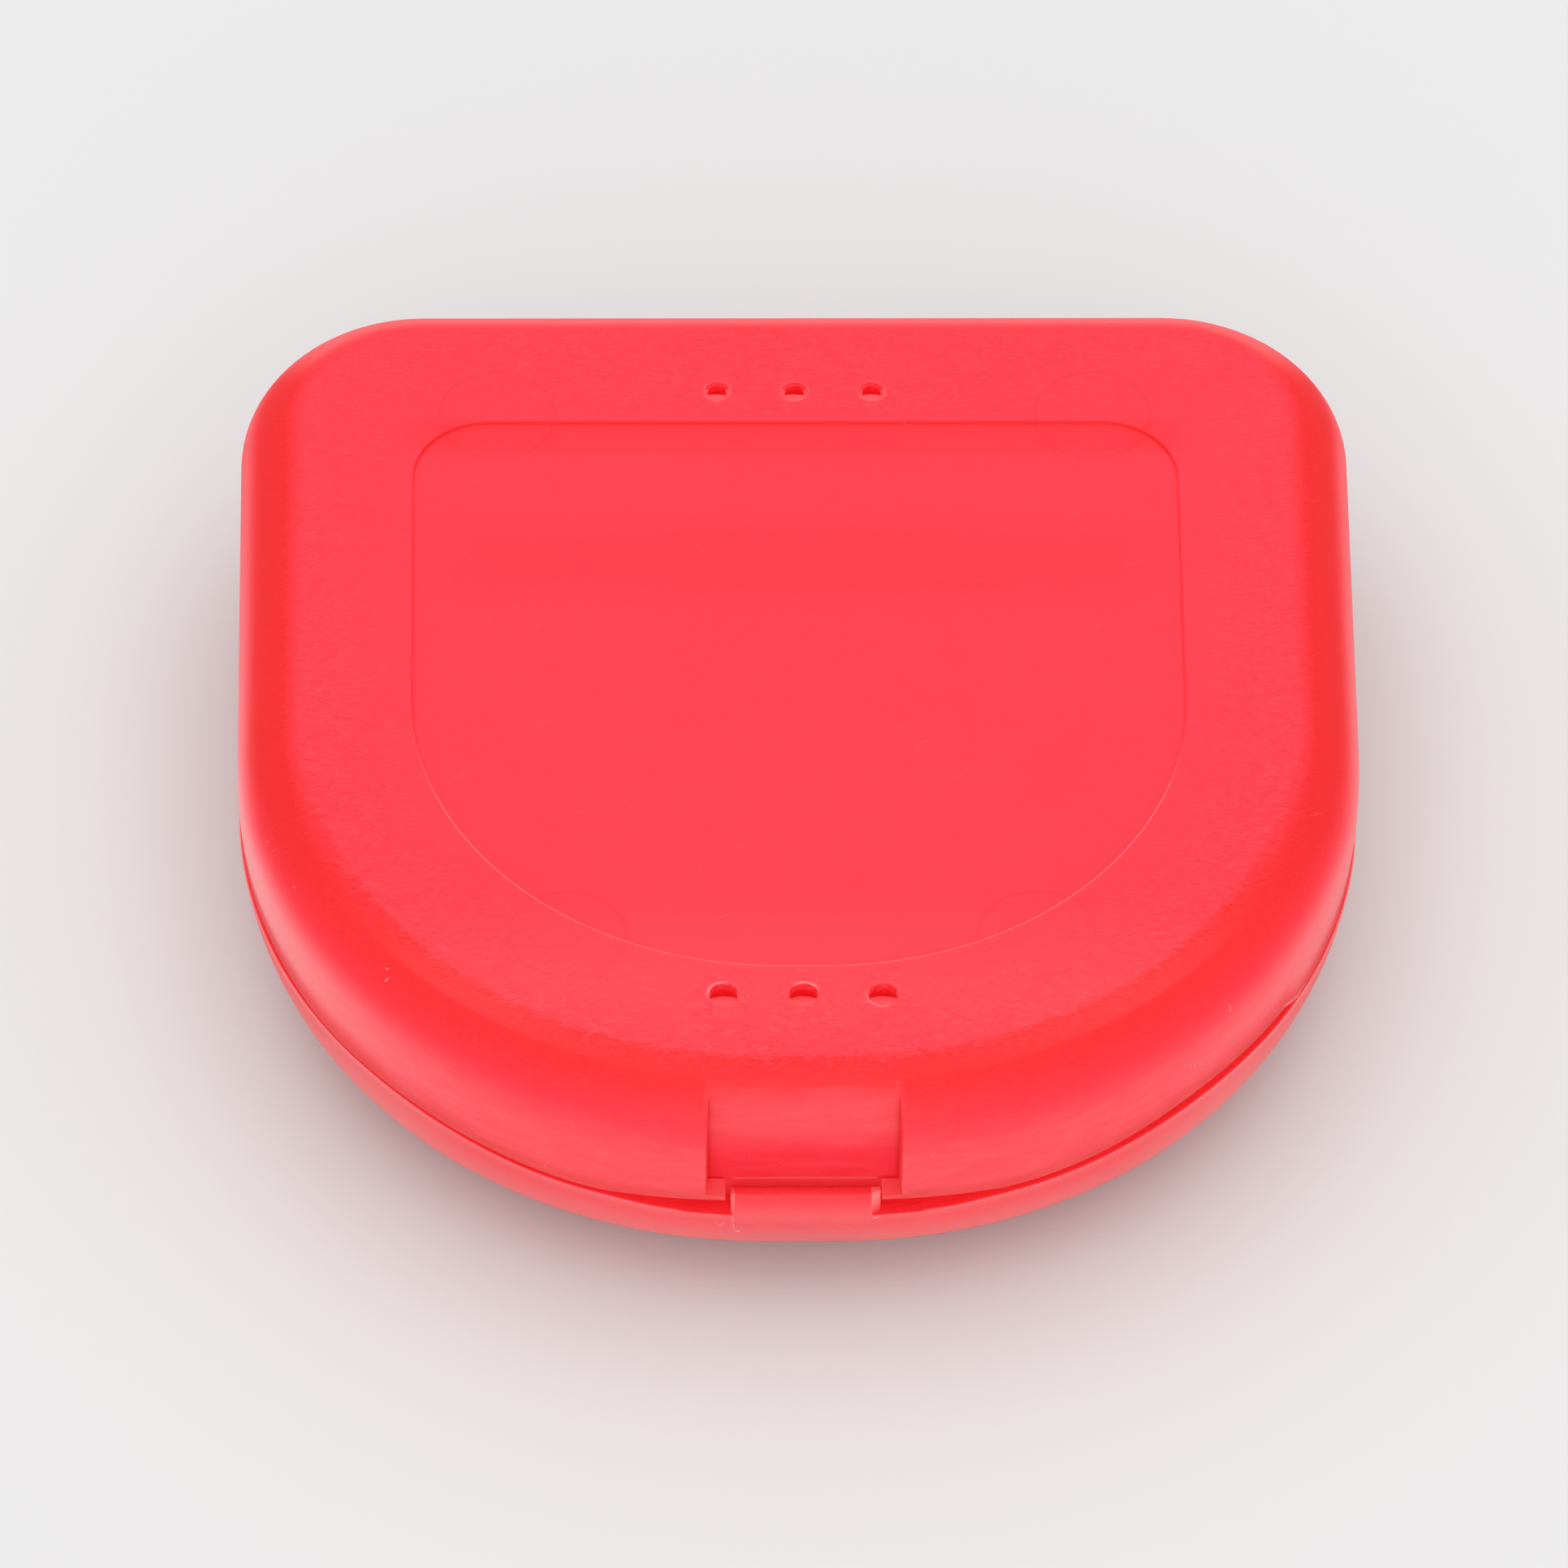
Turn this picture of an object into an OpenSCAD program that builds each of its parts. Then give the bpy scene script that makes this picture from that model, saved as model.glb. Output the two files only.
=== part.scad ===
// Hinged D-shaped box for a dental appliance, in moulded translucent plastic.
// Millimetres. The box lies flat and closed, +Z up, with the hinge at +Y and the latch at -Y.
// The origin is the middle of the underside.

/* [Case outline] */
// Width of the closed box, side to side
case_w = 80; // [76:0.5:96]
// Depth of the closed box, from the latch side to the back wall, without the hinge
case_d = 79.6; // [76:0.2:96]
// Length of the straight part in the middle of the front, between the two big front corners
front_flat = 5.6; // [3:0.2:12]
// Radius of the two back corners, seen from above
back_r = 13.2; // [12.5:0.1:18]
// Thickness of every moulded wall, of the floor and of the lid's top
wall = 1.3; // [1.1:0.05:1.5]

/* [Base] */
// Height of the base's rim above the table
base_rim_h = 9.3; // [8.6:0.1:10]
// Radius of the rounding from the base's floor up into its wall
base_round_r = 10.2; // [10.1:0.1:11.2]
// How far the base's outline lies inside the lid's
base_inset = 0.05; // [0.05:0.05:0.3]
// Height of the lip that stands up from the rim into the lid
lip_h = 1.9; // [1.4:0.1:3.2]
// Thickness of that lip
lip_t = 0.9; // [0.7:0.05:1.1]
// Play between the lip and the inside of the lid
lip_gap = 0.3; // [0.2:0.05:0.4]
// Bevel along the top of the lip
lip_bevel = 0.25; // [0.1:0.05:0.3]

/* [Lid] */
// Height of the lid, from its lower edge to its flat top
lid_h = 10.7; // [9.6:0.1:12]
// Gap between the base's rim and the lid's lower edge
seam = 0.6; // [0.4:0.1:1]
// Radius of the rounding round the lid's flat top
lid_round_r = 5; // [3.5:0.1:5.5]
// Height of the shallow arch that raises the lid's lower edge at the latch
arch_h = 0.8; // [0.5:0.1:1.1]
// Width of that arch
arch_w = 22; // [20:1:40]

/* [Label panel] */
// Depth of the sunk panel in the lid's top
panel_depth = 0.3; // [0.2:0.05:0.5]
// Distance from the panel's sides to the sides of the case
panel_side_margin = 12.45; // [11:0.05:16]
// Distance from the panel's front to the front of the case
panel_front_margin = 13.4; // [12:0.1:18]
// Distance from the panel's back to the back of the case
panel_back_margin = 13.2; // [12:0.1:18]
// Length of the straight part in the middle of the panel's front
panel_front_flat = 3.5; // [2:0.1:8]
// Radius of the panel's back corners
panel_back_r = 5.6; // [3:0.1:9]

/* [Vents] */
// Diameter of the vent holes in the front row
vent_front_d = 2.1; // [1.6:0.1:2.8]
// Diameter of the vent holes in the back row
vent_back_d = 1.8; // [1.4:0.1:2.6]
// Distance between neighbouring vent holes
vent_pitch = 5.6; // [4.6:0.1:7]
// Number of vent holes in each row
vent_count = 3; // [1:1:5]
// Distance from the label panel to the middle of each row
vent_offset = 2.9; // [2.4:0.1:4]
// Height of the low raised rim round each hole
vent_rim_h = 0.1; // [0.05:0.01:0.2]
// Radius of the round that forms that rim
vent_rim_r = 0.9; // [0.6:0.05:1.2]
// Distance from the hole's edge out to the crest of that rim
vent_rim_out = 0.2; // [0.1:0.05:0.4]

/* [Ejector marks] */
// Diameter of the marks that the mould's ejector pins leave inside the lid
mark_d = 8.3; // [5:0.1:9]
// Depth of those marks
mark_depth = 0.12; // [0.05:0.01:0.2]
// Distance of the two front marks from the middle
mark_front_x = 16.5; // [10:0.5:18]
// How far the front marks' middles lie inside the panel's front line
mark_front_in = 3; // [1:0.1:6]
// Distance of the two back marks from the middle
mark_back_x = 21.5; // [10:0.5:22]
// How far the back marks' middles lie behind the panel's back line
mark_back_out = 0.7; // [0:0.1:1.5]

/* [Latch] */
// Width of the thumb recess in the front of the lid
recess_w = 13.6; // [12.6:0.1:17]
// Depth of that recess at the lid's lower edge
recess_depth = 2.1; // [1.9:0.05:2.3]
// Height of the small shelf at each foot of the recess, above the arched edge
shelf_h = 0.4; // [0.3:0.05:1]
// Width of the base's tab that stands up in front of the latch tongue
tab_w = 10.2; // [7:0.1:10.8]
// Thickness of that tab
tab_t = 1.2; // [1.1:0.05:1.3]
// Height of that tab above the base's rim
tab_h = 1.65; // [1.5:0.05:1.9]
// Gap between the tab's ends and the shelves of the recess
tab_side_gap = 0.4; // [0.2:0.05:0.5]
// Width of the flat land along the tab's top, in front of the slope that leads in to its hook
tab_land = 0.35; // [0.25:0.05:0.5]
// How far the catch under the tab's hook lies below the tab's top
hook_drop = 1.2; // [1:0.05:1.3]
// How far the hooks of the tab and of the tongue reach towards each other
hook_reach = 0.55; // [0.48:0.01:0.6]
// Height of the blunt nose of each hook
hook_nose = 0.15; // [0.1:0.05:0.2]
// Upright gap between the two hooks when the box is shut
hook_gap = 0.1; // [0.05:0.01:0.2]
// Thickness of the latch tongue
tongue_t = 1.1; // [0.9:0.05:1.2]
// Slit on each side of the tongue
tongue_slit = 0.3; // [0.2:0.05:0.4]
// Height of the tongue's hinge line above the lid's lower edge
tongue_pivot_h = 8.1; // [7:0.1:8.3]
// Height of the barb, from the tongue's free end to the catch
barb_h = 0.55; // [0.45:0.05:0.6]
// Free depth in the base below the tongue's free end
tongue_pocket = 0.4; // [0.3:0.05:0.6]
// Play round the tongue's round top edge in its seat
tongue_play = 0.05; // [0.03:0.01:0.08]
// Width of the rib behind the tongue that stops it when it is pressed in
stop_w = 10; // [6:0.5:12]
// Thickness of that rib
stop_t = 1; // [0.8:0.1:1.4]
// Gap between the rib and the tongue at rest
stop_gap = 1.15; // [1.1:0.05:1.4]
// Height of that rib above the base's rim
stop_h = 4; // [2:0.1:5]

/* [Hinge] */
// Distance of each hinge's middle from the middle of the box
hinge_x = 17; // [12:0.5:19]
// Height of the hinge axis above the base's rim
hinge_rise = 1.1; // [1.05:0.05:1.4]
// Outer radius of the hinge knuckles
knuckle_r = 2.6; // [2.3:0.1:3]
// Length of the lid's knuckle, in the middle of each hinge
lid_knuckle_l = 6; // [4:0.5:9]
// Length of each of the base's two knuckles
base_knuckle_l = 3; // [2:0.5:4]
// Gap between neighbouring knuckles, and from a knuckle to the other half's wall
knuckle_gap = 0.3; // [0.2:0.05:0.4]
// Radius of the hinge pins, which the base's knuckles grip
pin_r = 1.2; // [0.9:0.05:1.4]
// Play round the pins in the lid's knuckles
pin_play = 0.05; // [0.03:0.01:0.08]
// How far the pins' ends lie inside the outer faces of the knuckles
pin_sink = 0.2; // [0:0.05:0.4]
// Bevel at the ends of the pins
pin_bevel = 0.3; // [0.1:0.05:0.4]
// Height of the web that carries each knuckle, on the wall beside it
web_h = 4.6; // [3.5:0.1:5]

/* [Hidden] */
$fn = 96;
// Overshoot of a cut beyond the face that it leaves through
over = 1;

// Half sizes of the plan
half_w = case_w / 2;
half_d = case_d / 2;

// Heights above the table
lid_edge_z = base_rim_h + seam;
top_z = lid_edge_z + lid_h;
panel_z = top_z - panel_depth;
lip_top_z = base_rim_h + lip_h;
hinge_z = base_rim_h + hinge_rise;
pivot_z = lid_edge_z + tongue_pivot_h;
arch_z = lid_edge_z + arch_h;
shelf_z = arch_z + shelf_h;
tab_top_z = base_rim_h + tab_h;

// How far the swept rims of the shells reach in under their flat middles
lid_reach = lid_round_r + over;
base_reach = base_round_r + over;

// Label panel
panel_w = case_w - 2 * panel_side_margin;
panel_front_y = -half_d + panel_front_margin;
panel_back_y = half_d - panel_back_margin;
panel_d = panel_back_y - panel_front_y;

// Latch, from the front of the case inwards
recess_y = -half_d + recess_depth;
tab_back_y = -half_d + base_inset + tab_t;
tongue_back_y = recess_y + tongue_t;
pivot_y = recess_y + tongue_t / 2;
stop_y = tongue_back_y + stop_gap;
frame_back_y = recess_y + wall;
tongue_w = recess_w - 2 * tongue_slit;
notch_w = tab_w + 2 * tab_side_gap;
hook_z = tab_top_z - hook_drop;
barb_z = hook_z - hook_gap;
tongue_foot_z = barb_z - barb_h;
barb_w = tab_w - 2 * tongue_slit;

// Hinge
hinge_y = half_d + knuckle_gap + knuckle_r;
hinge_l = lid_knuckle_l + 2 * (knuckle_gap + base_knuckle_l);
pin_l = hinge_l - 2 * pin_sink;

// Distance from the base's outline in to its rounded wall, at height z
function bowl_inset(z) = base_round_r - sqrt(pow(base_round_r, 2) - pow(base_round_r - z, 2));
// Middle of the base's back wall at height z
function base_back_y(z) = half_d - base_inset - bowl_inset(z) - wall / 2;

// D outline drawn as straight blocks and quarter discs, set in from the case's outline
module plan(w, d, flat, r_back, inset = 0) {
    x = w / 2 - inset;
    y = d / 2 - inset;
    r_f = (w - flat) / 2 - inset;
    r_b = r_back - inset;
    translate([-x, -y + r_f]) square([2 * x, 2 * y - r_f - r_b]);
    translate([-x + r_f, -y]) square([2 * (x - r_f), r_f]);
    translate([-x + r_b, y - r_b]) square([2 * (x - r_b), r_b]);
    for (side = [-1, 1]) {
        quarter_disc([side * (x - r_f), -y + r_f], [side, -1], r_f);
        quarter_disc([side * (x - r_b), y - r_b], [side, 1], r_b);
    }
}

// Quarter of a disc about a centre, in the quadrant that the two signs name
module quarter_disc(centre, signs, r) {
    translate(centre) intersection() {
        circle(r);
        translate([min(0, signs[0] * r), min(0, signs[1] * r)]) square(r);
    }
}

// Carries a wall's cross-section round the D outline.
// The section's x is the distance out from the outline, and its y is the height.
module round_the_case(inset = 0) {
    x = half_w - inset;
    y = half_d - inset;
    r_f = (case_w - front_flat) / 2 - inset;
    r_b = back_r - inset;
    corners = [[x - r_f, -y + r_f, r_f, -90], [-x + r_f, -y + r_f, r_f, 180],
               [x - r_b, y - r_b, r_b, 0], [-x + r_b, y - r_b, r_b, 90]];
    for (c = corners)
        translate([c[0], c[1], 0]) rotate([0, 0, c[3]]) rotate_extrude(angle = 90) translate([c[2], 0]) children();
    straights = [[x, y - r_b, 2 * y - r_f - r_b, 0], [-x, -y + r_f, 2 * y - r_f - r_b, 180],
                 [x - r_f, -y, 2 * (x - r_f), -90], [-x + r_b, y, 2 * (x - r_b), 90]];
    for (s = straights)
        translate([s[0], s[1], 0]) rotate([0, 0, s[3]]) rotate([90, 0, 0]) linear_extrude(s[2]) children();
}

// Section of a rounded edge: a block of the given reach and height whose upper outer corner is round
module rounded_edge(reach, h, r) {
    translate([-reach, 0]) square([reach, h - r]);
    translate([-reach, h - r]) square([reach - r, r]);
    quarter_disc([-r, h - r], [1, 1], r);
}

// Section of the lid's rim, standing on the lid's lower edge
module lid_section() {
    difference() {
        rounded_edge(lid_reach, lid_h, lid_round_r);
        translate([-wall, -over]) rounded_edge(lid_reach, lid_h - wall + over, lid_round_r - wall);
    }
}

// Section of the base: the bowl's wall, and the lip inside its rim
module base_section() {
    intersection() {
        mirror([0, 1]) translate([0, -base_round_r - over]) difference() {
            rounded_edge(base_reach, base_round_r + over, base_round_r);
            translate([-wall, -over]) rounded_edge(base_reach, base_round_r + 2 * over - wall, base_round_r - wall);
        }
        translate([-base_reach, 0]) square([base_reach, base_rim_h]);
    }
    outer = -wall - lip_gap + base_inset;
    inner = outer - lip_t;
    root = -wall / 2 - bowl_inset(base_rim_h - 2 * lip_t);
    polygon([
        [root, base_rim_h], [outer, base_rim_h], [outer, lip_top_z - lip_bevel], [outer - lip_bevel, lip_top_z],
        [inner + lip_bevel, lip_top_z], [inner, lip_top_z - lip_bevel], [inner, base_rim_h - lip_t / 2],
        [root, base_rim_h - 2 * lip_t]
    ]);
}

// Outside of the closed lid as one solid block
module lid_block() {
    translate([0, 0, lid_edge_z]) {
        round_the_case() rounded_edge(lid_reach, lid_h, lid_round_r);
        linear_extrude(lid_h) plan(case_w, case_d, front_flat, back_r, lid_round_r);
    }
}

// Box across the middle of the case, between two y planes and two z planes
module across(w, y0, y1, z0, z1) {
    translate([-w / 2, y0, z0]) cube([w, y1 - y0, z1 - z0]);
}

// Centre and diameter of each vent hole, row by row
vent_rows = [[panel_front_y - vent_offset, vent_front_d], [panel_back_y + vent_offset, vent_back_d]];
vents = [for (row = vent_rows, i = [0 : vent_count - 1]) [(i - (vent_count - 1) / 2) * vent_pitch, row[0], row[1]]];

// Centres of the ejector marks
marks = [for (side = [-1, 1]) each [
    [side * mark_front_x, panel_front_y + mark_front_in],
    [side * mark_back_x, panel_back_y + mark_back_out]
]];

// Low raised rim round a vent hole of diameter d, on the lid's top
module vent_rim(d) {
    crest_r = d / 2 + vent_rim_out;
    translate([0, 0, top_z]) rotate_extrude() intersection() {
        translate([crest_r, vent_rim_h - vent_rim_r]) circle(vent_rim_r);
        translate([0, -wall / 2]) square([crest_r + vent_rim_r, wall]);
    }
}

// Knuckle of length l about the hinge axis, from x0 on, with a web to the wall that carries it
module knuckle(x0, l, bore_r, web) {
    translate([x0, 0, 0]) rotate([90, 0, 90]) linear_extrude(l) difference() {
        union() {
            translate([hinge_y, hinge_z]) circle(knuckle_r);
            polygon(web);
        }
        translate([hinge_y, hinge_z]) circle(bore_r);
    }
}

// Base: a shallow bowl with a lip, the latch tab, the rib behind the tongue and four hinge knuckles
module base_shell() {
    color([0.95, 0.27, 0.31]) {
        difference() {
            union() {
                round_the_case(base_inset) base_section();
                linear_extrude(wall) plan(case_w, case_d, front_flat, back_r, base_round_r);
            }
            // The lip stops on each side of the lid's recess, and its root leaves a pocket for the tongue
            across(recess_w + 2 * (wall + lip_gap), -half_d, stop_y, base_rim_h, lip_top_z + over);
            across(recess_w + 2 * (wall + lip_gap), tab_back_y, stop_y, tongue_foot_z - tongue_pocket, top_z);
        }
        latch_tab();
        stop_rib();
        for (side = [-1, 1], end = [-1, 1]) {
            x0 = side * hinge_x + end * (hinge_l - base_knuckle_l) / 2 - base_knuckle_l / 2;
            low = base_rim_h - web_h;
            knuckle(x0, base_knuckle_l, pin_r, [
                [base_back_y(base_rim_h), base_rim_h], [base_back_y(low), low],
                [hinge_y, hinge_z - knuckle_r], [hinge_y, base_rim_h]
            ]);
        }
    }
}

// Front tab of the base, which follows the outline and hooks over the tongue's barb
module latch_tab() {
    nose_y = tab_back_y + hook_reach;
    low = base_rim_h - wall;
    intersection() {
        linear_extrude(tab_top_z) plan(case_w, case_d, front_flat, back_r, base_inset);
        translate([-tab_w / 2, 0, 0]) rotate([90, 0, 90]) linear_extrude(tab_w) polygon([
            [-half_d, low], [tab_back_y, low], [tab_back_y, hook_z], [nose_y, hook_z], [nose_y, hook_z + hook_nose],
            [-half_d + base_inset + tab_land, tab_top_z], [-half_d, tab_top_z]
        ]);
    }
}

// Rib on the base's floor that stops the tongue when it is pressed in
module stop_rib() {
    difference() {
        across(stop_w, stop_y, stop_y + stop_t, wall / 2, base_rim_h + stop_h);
        // The rib's foot follows the bowl
        round_the_case(base_inset) difference() {
            translate([-base_reach, -over]) square([base_reach + over, base_rim_h + over]);
            mirror([0, 1]) translate([0, -base_round_r - over]) translate([-wall / 2, -over])
                rounded_edge(base_reach + over, base_round_r + 2 * over - wall / 2, base_round_r - wall / 2);
        }
    }
}

// Lid: a shallow cap with the label panel, the vents, the thumb recess and two hinge knuckles
module lid_shell() {
    color([0.96, 0.3, 0.34]) {
        difference() {
            union() {
                translate([0, 0, lid_edge_z]) round_the_case() lid_section();
                translate([0, 0, top_z - wall]) linear_extrude(wall)
                    plan(case_w, case_d, front_flat, back_r, lid_round_r);
                // Frame of the thumb recess
                intersection() {
                    lid_block();
                    across(recess_w + 2 * wall, -half_d - over, frame_back_y, lid_edge_z, top_z);
                }
                for (v = vents)
                    translate([v[0], v[1], 0]) vent_rim(v[2]);
            }
            label_panel();
            thumb_recess();
            tongue_slot();
            edge_arch();
            for (v = vents)
                translate([v[0], v[1], top_z - wall - over]) cylinder(h = wall + 2 * over, d = v[2]);
            for (m = marks)
                translate([m[0], m[1], top_z - wall - over]) cylinder(h = mark_depth + over, d = mark_d);
        }
        for (side = [-1, 1])
            knuckle(side * hinge_x - lid_knuckle_l / 2, lid_knuckle_l, pin_r + pin_play, [
                [half_d - wall / 2, lid_edge_z], [hinge_y, lid_edge_z],
                [hinge_y, hinge_z + knuckle_r], [half_d - wall / 2, lid_edge_z + web_h]
            ]);
    }
}

// Sunk D-shaped panel in the lid's top
module label_panel() {
    translate([0, (panel_front_y + panel_back_y) / 2, panel_z]) linear_extrude(panel_depth + over)
        plan(panel_w, panel_d, panel_front_flat, panel_back_r);
}

// Thumb recess in front of the tongue, with a notch between its two shelves for the base's tab
module thumb_recess() {
    across(recess_w, -half_d - over, recess_y, shelf_z, top_z + over);
    across(notch_w, -half_d - over, recess_y, lid_edge_z - over, top_z);
}

// Opening that the tongue fills, with the round seat of its hinge line
module tongue_slot() {
    across(recess_w, recess_y - tongue_slit, frame_back_y + over, lid_edge_z - over, shelf_z);
    across(recess_w, recess_y - over, frame_back_y + over, shelf_z - over / 2, pivot_z);
    translate([-recess_w / 2, pivot_y, pivot_z]) rotate([0, 90, 0])
        cylinder(h = recess_w, r = tongue_t / 2 + tongue_play);
}

// Shallow arch in the lid's lower edge, in front
module edge_arch() {
    r = (pow(arch_w / 2, 2) + pow(arch_h, 2)) / (2 * arch_h);
    translate([0, frame_back_y + over, arch_z - r]) rotate([90, 0, 0])
        cylinder(h = frame_back_y + half_d + 2 * over, r = r);
}

// Latch tongue: the flexing back wall of the thumb recess, with a barb along its free end
module latch_tongue() {
    color([0.93, 0.25, 0.29]) {
        across(tongue_w, recess_y, tongue_back_y, tongue_foot_z, pivot_z);
        translate([-tongue_w / 2, pivot_y, pivot_z]) rotate([0, 90, 0]) cylinder(h = tongue_w, r = tongue_t / 2);
        translate([-barb_w / 2, 0, 0]) rotate([90, 0, 90]) linear_extrude(barb_w) polygon([
            [pivot_y, tongue_foot_z], [recess_y, tongue_foot_z], [recess_y - hook_reach, barb_z - hook_nose],
            [recess_y - hook_reach, barb_z], [pivot_y, barb_z]
        ]);
    }
}

// Hinge pin with bevelled ends
module hinge_pin(x) {
    color([0.9, 0.25, 0.3])
        translate([x - pin_l / 2, hinge_y, hinge_z]) rotate([0, 90, 0]) rotate_extrude() polygon([
            [0, 0], [pin_r - pin_bevel, 0], [pin_r, pin_bevel],
            [pin_r, pin_l - pin_bevel], [pin_r - pin_bevel, pin_l], [0, pin_l]
        ]);
}

base_shell();
lid_shell();
latch_tongue();
hinge_pin(-hinge_x);  // hinge_pin_left
hinge_pin(hinge_x);  // hinge_pin_right
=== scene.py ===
import math

import bmesh
import bpy
from mathutils import Matrix, Vector


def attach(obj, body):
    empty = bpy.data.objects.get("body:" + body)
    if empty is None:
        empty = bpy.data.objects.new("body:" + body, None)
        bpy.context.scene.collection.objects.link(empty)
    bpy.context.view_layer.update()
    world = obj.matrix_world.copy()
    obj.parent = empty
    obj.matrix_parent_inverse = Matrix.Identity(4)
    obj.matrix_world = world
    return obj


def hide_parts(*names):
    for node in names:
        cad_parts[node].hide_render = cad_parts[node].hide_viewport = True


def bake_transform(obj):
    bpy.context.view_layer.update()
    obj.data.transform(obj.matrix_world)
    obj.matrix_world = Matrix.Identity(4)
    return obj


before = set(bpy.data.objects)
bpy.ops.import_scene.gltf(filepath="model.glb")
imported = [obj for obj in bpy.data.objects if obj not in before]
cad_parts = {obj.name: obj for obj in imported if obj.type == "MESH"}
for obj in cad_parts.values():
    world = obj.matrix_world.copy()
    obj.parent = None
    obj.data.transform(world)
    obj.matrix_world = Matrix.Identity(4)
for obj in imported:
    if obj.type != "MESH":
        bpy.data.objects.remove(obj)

scene = bpy.context.scene
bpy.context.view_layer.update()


# Base shell: a shallow D-shaped bowl, injection moulded in frosted translucent red polypropylene.
# A thin lip stands inside its rim, a tab with an inward hook stands up in front, and four hinge
# knuckles hang on the back wall. All sizes are millimetres; the case is drawn as rings of points.
MM = 0.001

# Outline of the case, seen from above, and its wall
HALF_W = 40.0
HALF_D = 39.8
FRONT_R = 37.2
BACK_R = 13.2
FRONT_STEPS = 56
BACK_STEPS = 24
WALL = 1.3

# Bowl: how far it stands inside the outline, its bottom rounding, its rim and its edges' softness
BASE_INSET = 0.05
BASE_ROUND = 10.2
RIM_Z = 9.3
EDGE_SOFT = 0.14

# Seam: its rise along the sides, its dip beside the tab, and the height from which the wall follows
SEAM_RISE = 1.05
RIM_DIP = 0.3
DIP_HALF = (9, 15)
FOLLOW_Z = 3.5

# Lip inside the rim
LIP_TOP = 11.2
LIP_T = 0.9
LIP_OUT = 1.6
LIP_SOFT = 0.25

# Tab: it ends in a bevelled corner on the right, and its hook's nose is behind its top
TAB_HALF = 5.1
TAB_TOP = 10.95
TAB_T = 1.2
TAB_LAND = 0.35
TAB_SOFT = 0.16
TAB_CORNER = 4.75
TAB_RIGHT = 5.4
HOOK_Z = 9.75
HOOK_NOSE_Z = 9.9
HOOK_NOSE = 0.72
HOOK_SOFT = 0.05

# Pocket for the tongue's foot, and the rib that stops the tongue, whose foot stands in the rounding
POCKET_HALF = 8.4
POCKET_Z = 8.7
STOP_HALF = 5.0
STOP_Y = -35.45
STOP_T = 1.0
STOP_TOP = 13.3
STOP_FOOT = (3.4, 3.0)
STOP_SOFT = 0.2

# Hinge: its axis, its knuckles and the webs that carry them, their softened ends and their bores
HINGE_X = 17.0
HINGE_Y = 42.7
HINGE_Z = 10.4
KNUCKLE_R = 2.6
PIN_R = 1.2
PIN_PLAY = 0.05
LID_KNUCKLE_L = 6.0
BASE_KNUCKLE_L = 3.0
KNUCKLE_GAP = 0.3
WEB_H = 4.6
END_SOFT = 0.15
BORE_STEPS = 24


def ring(inset, z, half_w=HALF_W, front_y=-HALF_D, back_y=HALF_D, front_r=FRONT_R, back_r=BACK_R):
    """Points of the D outline at height z, set in by inset, counter-clockwise from the front."""
    corners = [
        (half_w - front_r, front_y + front_r, front_r - inset, -90, FRONT_STEPS),
        (half_w - back_r, back_y - back_r, back_r - inset, 0, BACK_STEPS),
        (back_r - half_w, back_y - back_r, back_r - inset, 90, BACK_STEPS),
        (front_r - half_w, front_y + front_r, front_r - inset, 180, FRONT_STEPS),
    ]
    points = []
    for cx, cy, r, start, steps in corners:
        for i in range(steps + 1):
            a = math.radians(start + 90 * i / steps)
            points.append((cx + r * math.cos(a), cy + r * math.sin(a), z))
    return points


def arc(cx, cz, r, start, end, steps):
    """Points of an arc in a section, from one angle to another in degrees."""
    angles = [math.radians(start + (end - start) * i / steps) for i in range(steps + 1)]
    return [(cx + r * math.cos(a), cz + r * math.sin(a)) for a in angles]


def skin(name, rings):
    """Closed solid through a list of rings with equal numbers of points, capped at both ends."""
    n = len(rings[0])
    points = [Vector(p) * MM for r in rings for p in r]
    faces = [tuple(range(n)), tuple(range((len(rings) - 1) * n, len(rings) * n))]
    for k in range(len(rings) - 1):
        for i in range(n):
            j = (i + 1) % n
            faces.append((k * n + i, k * n + j, (k + 1) * n + j, (k + 1) * n + i))
    mesh = bpy.data.meshes.new(name)
    mesh.from_pydata(points, [], faces)
    bm = bmesh.new()
    bm.from_mesh(mesh)
    bmesh.ops.remove_doubles(bm, verts=bm.verts, dist=1e-7)
    bmesh.ops.recalc_face_normals(bm, faces=bm.faces)
    bm.to_mesh(mesh)
    bm.free()
    obj = bpy.data.objects.new(name, mesh)
    scene.collection.objects.link(obj)
    return obj


def prism(section, x0, x1, soft=0.0):
    """Bar along X whose section is a list of (y, z) points, with softened ends."""
    stations = [(x0, soft), (x0 + soft * 0.3, soft * 0.3), (x0 + soft, 0), (x1 - soft, 0),
                (x1 - soft * 0.3, soft * 0.3), (x1, soft)] if soft else [(x0, 0), (x1, 0)]
    cy = sum(p[0] for p in section) / len(section)
    cz = sum(p[1] for p in section) / len(section)
    rings = []
    for x, inset in stations:
        loop = []
        for y, z in section:
            away = math.hypot(y - cy, z - cz)
            k = 1 - inset / away
            loop.append((x, cy + (y - cy) * k, cz + (z - cz) * k))
        rings.append(loop)
    return skin("bar", rings)


def boolean(obj, others, operation):
    """Joins, cuts or keeps obj with the other solids one after another, and clears them away."""
    for other in others:
        change = obj.modifiers.new("boolean", "BOOLEAN")
        change.operation = operation
        change.solver = "EXACT"
        change.object = other
        graph = bpy.context.evaluated_depsgraph_get()
        mesh = bpy.data.meshes.new_from_object(obj.evaluated_get(graph))
        obj.modifiers.clear()
        old = obj.data
        obj.data = mesh
        bpy.data.meshes.remove(old)
        spare = other.data
        bpy.data.objects.remove(other)
        bpy.data.meshes.remove(spare)
    return obj


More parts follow.
